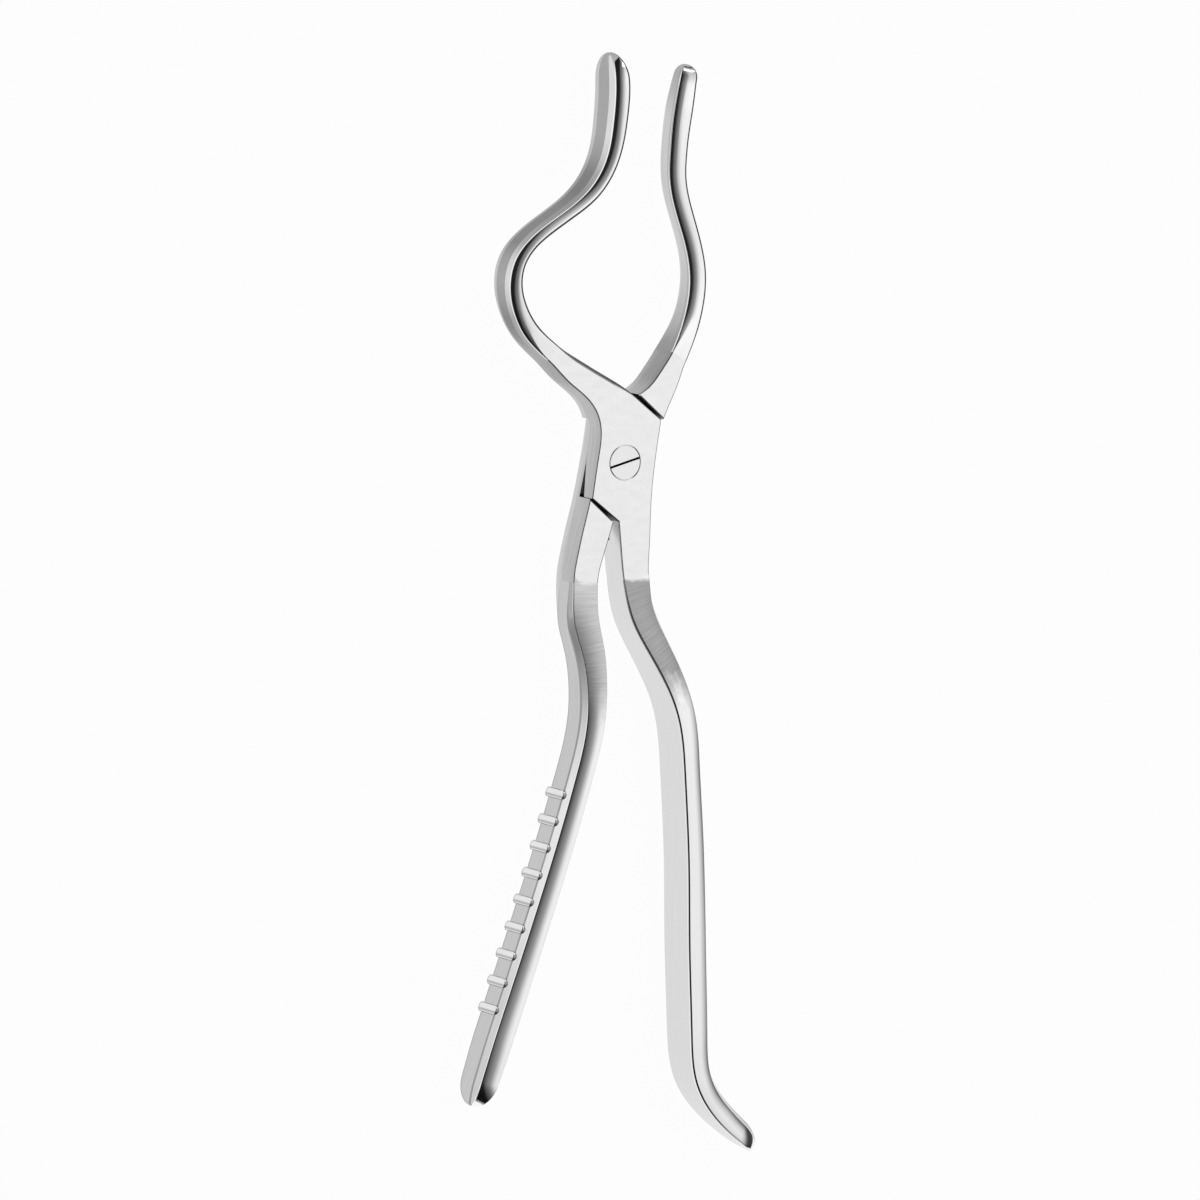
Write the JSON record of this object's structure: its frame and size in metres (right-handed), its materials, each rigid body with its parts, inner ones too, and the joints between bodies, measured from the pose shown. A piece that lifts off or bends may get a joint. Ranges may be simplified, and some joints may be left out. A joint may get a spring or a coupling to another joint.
{
  "type": "maxillary forceps",
  "caption": "Long steel surgical forceps with one broad bowed blade and one slim curved blade, lapped at a slotted pivot screw, with ribbed and flared handles.",
  "frame": {"origin": "on the pivot axis, in the flat rear face of the joint", "axes": "+Z along the pivot axis, out of the slotted screw head; +Y towards the blade tips; +X towards the slim blade"},
  "size_m": [0.0699, 0.2322, 0.0106],
  "materials": {
    "front_half": "polished, with satin joint faces",
    "rear_half": "polished, with satin joint faces",
    "pivot_screw": "satin"
  },
  "bodies": {
    "rear_body": {"rear_half": "rear_half", "pivot_screw": "pivot_screw"},
    "front_body": {"front_half": "front_half"}
  },
  "joints": [
    {"name": "pivot", "type": "hinge", "parent": "rear_body", "child": "front_body", "pos_m": [0, 0, 0], "axis": [0, 0, 1], "range_deg": [-3, 30]}
  ]
}
